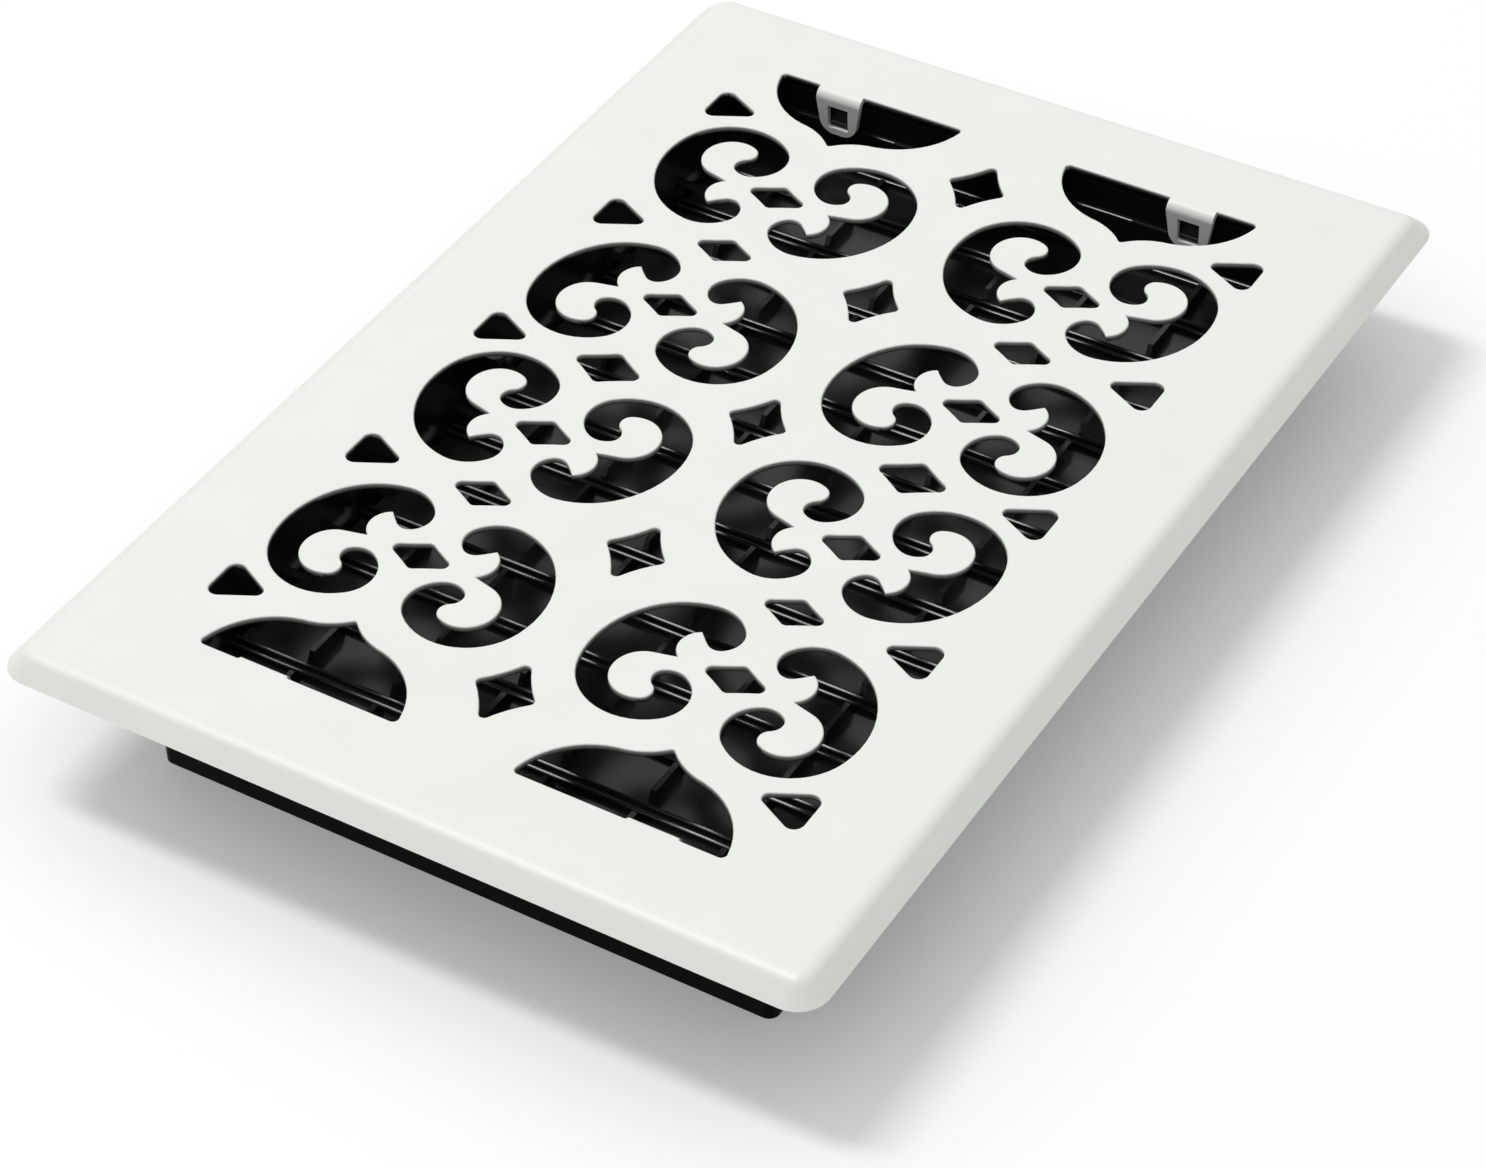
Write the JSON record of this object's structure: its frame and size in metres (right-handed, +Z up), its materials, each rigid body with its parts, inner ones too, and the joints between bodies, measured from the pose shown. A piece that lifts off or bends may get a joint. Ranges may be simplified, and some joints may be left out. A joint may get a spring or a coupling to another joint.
{
  "type": "floor register",
  "caption": "Rectangular white floor register with a scroll-cut faceplate and bevelled rim over a black damper box whose linked louvre vanes open and close the airway.",
  "frame": {"origin": "centre of the damper box's lower edge, which is the lowest plane of the part", "axes": "+Z up out of the floor, +Y along the long side, +X along the short side and the vane pivots"},
  "size_m": [0.1906, 0.2794, 0.036],
  "materials": {
    "plate_paint": "off-white satin powder coat on stamped steel sheet",
    "damper_plastic": "glossy black moulded plastic"
  },
  "bodies": {
    "frame": {"faceplate": "plate_paint", "damper_box": "damper_plastic"},
    "vane_01": {"vane_01": "damper_plastic"},
    "vane_02": {"vane_02": "damper_plastic"},
    "vane_03": {"vane_03": "damper_plastic"},
    "vane_04": {"vane_04": "damper_plastic"},
    "vane_05": {"vane_05": "damper_plastic"},
    "vane_06": {"vane_06": "damper_plastic"},
    "vane_07": {"vane_07": "damper_plastic"},
    "vane_08": {"vane_08": "damper_plastic"},
    "vane_09": {"vane_09": "damper_plastic"},
    "vane_10": {"vane_10": "damper_plastic"},
    "vane_11": {"vane_11": "damper_plastic"},
    "vane_12": {"vane_12": "damper_plastic"},
    "vane_13": {"vane_13": "damper_plastic"},
    "vane_14": {"vane_14": "damper_plastic"},
    "link": {"link_bar": "damper_plastic"}
  },
  "joints": [
    {"name": "vane_01_turn", "type": "hinge", "parent": "frame", "child": "vane_01", "pos_m": [0, -0.10381, 0.0161], "axis": [1, 0, 0], "range_deg": [0, 80]},
    {"name": "vane_02_turn", "type": "hinge", "parent": "frame", "child": "vane_02", "pos_m": [0, -0.08784, 0.0161], "axis": [1, 0, 0], "range_deg": [0, 80]},
    {"name": "vane_03_turn", "type": "hinge", "parent": "frame", "child": "vane_03", "pos_m": [0, -0.07187, 0.0161], "axis": [1, 0, 0], "range_deg": [0, 80]},
    {"name": "vane_04_turn", "type": "hinge", "parent": "frame", "child": "vane_04", "pos_m": [0, -0.0559, 0.0161], "axis": [1, 0, 0], "range_deg": [0, 80]},
    {"name": "vane_05_turn", "type": "hinge", "parent": "frame", "child": "vane_05", "pos_m": [0, -0.03993, 0.0161], "axis": [1, 0, 0], "range_deg": [0, 80]},
    {"name": "vane_06_turn", "type": "hinge", "parent": "frame", "child": "vane_06", "pos_m": [0, -0.02396, 0.0161], "axis": [1, 0, 0], "range_deg": [0, 80]},
    {"name": "vane_07_turn", "type": "hinge", "parent": "frame", "child": "vane_07", "pos_m": [0, -0.00799, 0.0161], "axis": [1, 0, 0], "range_deg": [0, 80]},
    {"name": "vane_08_turn", "type": "hinge", "parent": "frame", "child": "vane_08", "pos_m": [0, 0.00799, 0.0161], "axis": [1, 0, 0], "range_deg": [0, 80]},
    {"name": "vane_09_turn", "type": "hinge", "parent": "frame", "child": "vane_09", "pos_m": [0, 0.02396, 0.0161], "axis": [1, 0, 0], "range_deg": [0, 80]},
    {"name": "vane_10_turn", "type": "hinge", "parent": "frame", "child": "vane_10", "pos_m": [0, 0.03993, 0.0161], "axis": [1, 0, 0], "range_deg": [0, 80]},
    {"name": "vane_11_turn", "type": "hinge", "parent": "frame", "child": "vane_11", "pos_m": [0, 0.0559, 0.0161], "axis": [1, 0, 0], "range_deg": [0, 80]},
    {"name": "vane_12_turn", "type": "hinge", "parent": "frame", "child": "vane_12", "pos_m": [0, 0.07187, 0.0161], "axis": [1, 0, 0], "range_deg": [0, 80]},
    {"name": "vane_13_turn", "type": "hinge", "parent": "frame", "child": "vane_13", "pos_m": [0, 0.08784, 0.0161], "axis": [1, 0, 0], "range_deg": [0, 80]},
    {"name": "vane_14_turn", "type": "hinge", "parent": "frame", "child": "vane_14", "pos_m": [0, 0.10381, 0.0161], "axis": [1, 0, 0], "range_deg": [0, 80]},
    {"name": "link_turn", "type": "hinge", "parent": "vane_07", "child": "link", "pos_m": [-0.07065, -0.01184, 0.0115], "axis": [1, 0, 0], "range_deg": [-80, 0]}
  ],
  "couplings": [
    {"joint": "vane_01_turn", "follows": "vane_07_turn", "ratio": 1},
    {"joint": "vane_02_turn", "follows": "vane_07_turn", "ratio": 1},
    {"joint": "vane_03_turn", "follows": "vane_07_turn", "ratio": 1},
    {"joint": "vane_04_turn", "follows": "vane_07_turn", "ratio": 1},
    {"joint": "vane_05_turn", "follows": "vane_07_turn", "ratio": 1},
    {"joint": "vane_06_turn", "follows": "vane_07_turn", "ratio": 1},
    {"joint": "vane_08_turn", "follows": "vane_07_turn", "ratio": 1},
    {"joint": "vane_09_turn", "follows": "vane_07_turn", "ratio": 1},
    {"joint": "vane_10_turn", "follows": "vane_07_turn", "ratio": 1},
    {"joint": "vane_11_turn", "follows": "vane_07_turn", "ratio": 1},
    {"joint": "vane_12_turn", "follows": "vane_07_turn", "ratio": 1},
    {"joint": "vane_13_turn", "follows": "vane_07_turn", "ratio": 1},
    {"joint": "vane_14_turn", "follows": "vane_07_turn", "ratio": 1},
    {"joint": "link_turn", "follows": "vane_07_turn", "ratio": -1}
  ]
}
